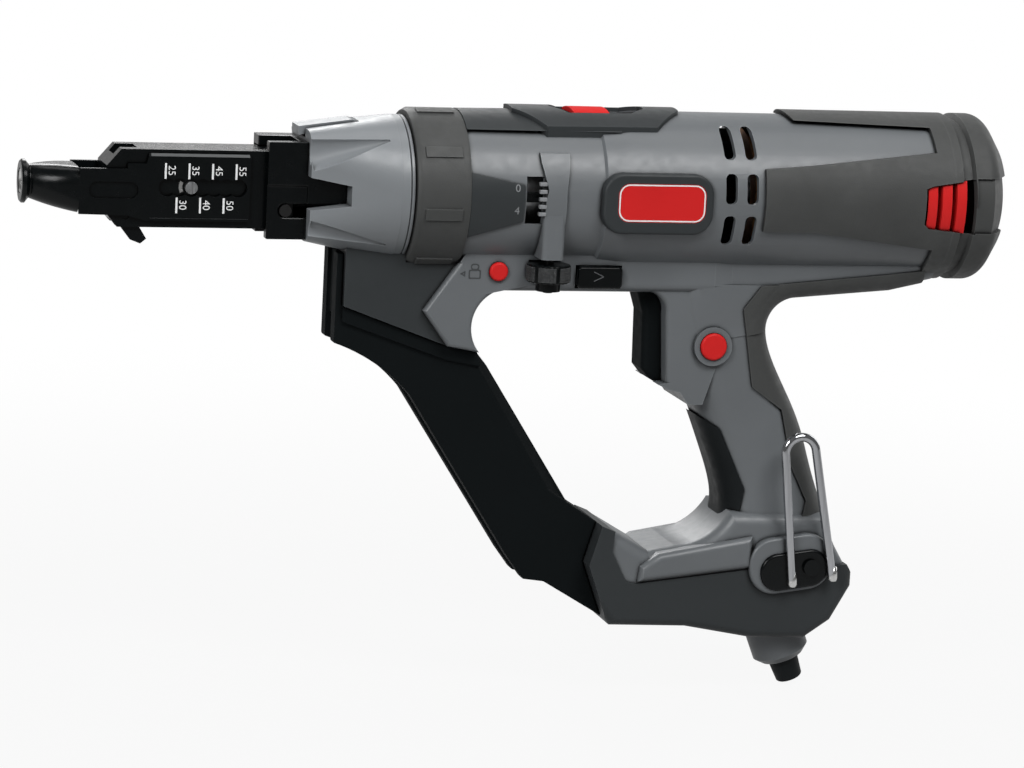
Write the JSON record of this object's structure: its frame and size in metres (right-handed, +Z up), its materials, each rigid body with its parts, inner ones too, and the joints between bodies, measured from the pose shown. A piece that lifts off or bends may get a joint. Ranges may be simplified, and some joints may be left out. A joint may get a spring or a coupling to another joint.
{
  "type": "auto-feed drywall screwdriver",
  "caption": "Corded pistol-handled drywall screwdriver with an auto-feed nose for collated screw strips, a strip guide closing the D-handle, and a belt hook.",
  "frame": {"origin": "middle of the nosepiece mouth on the drive axis", "axes": "+X back along the drive axis to the motor, +Z up, so the tool's left side faces -Y"},
  "size_m": [0.43, 0.0738, 0.2567],
  "materials": {
    "housing_plastic": "satin moulded",
    "pale_plastic": "satin moulded",
    "soft_grip": "fine matt grain",
    "dark_plastic": "matt moulded",
    "black_plastic": "semi gloss moulded",
    "red_plastic": "semi gloss moulded",
    "chromed_wire": "polished",
    "steel": "machined",
    "iron": "stacked laminations",
    "alloy": "die cast",
    "copper": "enamelled wire",
    "carbon": "pressed carbon"
  },
  "bodies": {
    "housing": {"housing_left": "housing_plastic", "housing_right": "housing_plastic", "rear_cap": "soft_grip", "vent_louvres": "red_plastic", "barrel_overmould": "soft_grip", "badge_bezel_left": "dark_plastic", "badge_bezel_right": "dark_plastic", "badge_plate_left": "red_plastic", "badge_plate_right": "red_plastic", "top_cover": "dark_plastic", "side_panel_left": "dark_plastic", "side_panel_right": "dark_plastic", "front_collar": "soft_grip", "strip_bracket": "dark_plastic", "nose_cone": "pale_plastic", "feed_bracket": "black_plastic", "strip_guide": "black_plastic", "handle_grip_back": "soft_grip", "handle_grip_front": "soft_grip", "base_guard": "dark_plastic", "hook_block": "black_plastic", "belt_hook": "chromed_wire", "hook_screw": "black_plastic", "cable_collar": "housing_plastic", "cable_boot": "soft_grip", "housing_screws": "steel", "gear_case": "alloy", "ring_gear": "steel", "spindle_bearing": "steel", "motor_bearing_plate": "alloy", "front_motor_bearing": "steel", "rear_motor_bearing": "steel", "field_core": "iron", "field_windings": "copper", "brush_holders": "copper", "carbon_brushes": "carbon", "trigger_switch": "black_plastic", "slide_spring": "steel"},
    "feed_slide": {"slide_body": "black_plastic", "index_pin": "steel", "guide_roller": "iron"},
    "nosepiece": {"nosepiece": "black_plastic"},
    "strip_pawl": {"strip_pawl": "black_plastic"},
    "feed_sprocket": {"feed_sprocket": "steel"},
    "trigger": {"trigger": "black_plastic"},
    "lock_button": {"lock_button": "red_plastic"},
    "release_button": {"release_button": "red_plastic"},
    "reverse_switch": {"reverse_switch": "black_plastic"},
    "depth_wheel": {"depth_wheel": "dark_plastic"},
    "depth_pointer": {"depth_pointer": "black_plastic"},
    "top_slider": {"top_slider": "red_plastic"},
    "armature": {"armature_shaft": "steel", "armature_core": "iron", "commutator": "copper", "cooling_fan": "black_plastic"},
    "spindle": {"spindle": "steel", "driver_bit": "steel"},
    "planet_1": {"planet_gear_1": "steel"},
    "planet_2": {"planet_gear_2": "steel"},
    "planet_3": {"planet_gear_3": "steel"}
  },
  "joints": [
    {"name": "feed_stroke", "type": "slide", "parent": "housing", "child": "feed_slide", "axis": [1, 0, 0], "range_m": [0, 0.05], "stiffness_N_per_m": 200, "springref_m": -0.05, "deforming": ["slide_spring"]},
    {"name": "nose_adjust", "type": "slide", "parent": "feed_slide", "child": "nosepiece", "axis": [1, 0, 0], "range_m": [-0.02, 0.01]},
    {"name": "pawl_pivot", "type": "hinge", "parent": "feed_slide", "child": "strip_pawl", "pos_m": [0.043, -0.009, -0.0125], "axis": [0, 1, 0], "range_deg": [-12, 0], "stiffness_Nm_per_rad": 0.03, "springref_deg": 14.32},
    {"name": "sprocket_turn", "type": "hinge", "parent": "feed_slide", "child": "feed_sprocket", "pos_m": [0.053, 0, -0.0115], "axis": [0, 1, 0], "continuous": true},
    {"name": "trigger_pull", "type": "slide", "parent": "housing", "child": "trigger", "axis": [1, 0, 0], "range_m": [0, 0.0065], "stiffness_N_per_m": 900, "springref_m": -0.006},
    {"name": "lock_press", "type": "slide", "parent": "housing", "child": "lock_button", "axis": [0, 1, 0], "range_m": [0, 0.003], "stiffness_N_per_m": 800, "springref_m": -0.004},
    {"name": "release_press", "type": "slide", "parent": "housing", "child": "release_button", "axis": [0, 1, 0], "range_m": [0, 0.0025], "stiffness_N_per_m": 800, "springref_m": -0.004},
    {"name": "reverse_shift", "type": "slide", "parent": "housing", "child": "reverse_switch", "axis": [0, 1, 0], "range_m": [-0.003, 0.003]},
    {"name": "depth_turn", "type": "hinge", "parent": "housing", "child": "depth_wheel", "pos_m": [0.223, -0.027, 0], "axis": [0, 0, 1], "range_deg": [-1440, 1440]},
    {"name": "depth_index", "type": "slide", "parent": "housing", "child": "depth_pointer", "axis": [0, 0, 1], "range_m": [-0.0041, 0.0041]},
    {"name": "top_slide", "type": "slide", "parent": "housing", "child": "top_slider", "axis": [1, 0, 0], "range_m": [-0.002, 0.008]},
    {"name": "armature_spin", "type": "hinge", "parent": "housing", "child": "armature", "pos_m": [0.34, 0, 0], "axis": [1, 0, 0], "continuous": true},
    {"name": "spindle_spin", "type": "hinge", "parent": "housing", "child": "spindle", "pos_m": [0.2, 0, 0], "axis": [1, 0, 0], "continuous": true},
    {"name": "planet_1_spin", "type": "hinge", "parent": "spindle", "child": "planet_1", "pos_m": [0.262, 0, 0.012], "axis": [1, 0, 0], "continuous": true},
    {"name": "planet_2_spin", "type": "hinge", "parent": "spindle", "child": "planet_2", "pos_m": [0.262, -0.01039, -0.006], "axis": [1, 0, 0], "continuous": true},
    {"name": "planet_3_spin", "type": "hinge", "parent": "spindle", "child": "planet_3", "pos_m": [0.262, 0.01039, -0.006], "axis": [1, 0, 0], "continuous": true}
  ],
  "couplings": [
    {"joint": "depth_index", "follows": "depth_turn", "m_per_rad": 0.00015915},
    {"joint": "spindle_spin", "follows": "armature_spin", "ratio": 0.2},
    {"joint": "planet_1_spin", "follows": "armature_spin", "ratio": -0.53333},
    {"joint": "planet_2_spin", "follows": "armature_spin", "ratio": -0.53333},
    {"joint": "planet_3_spin", "follows": "armature_spin", "ratio": -0.53333}
  ]
}
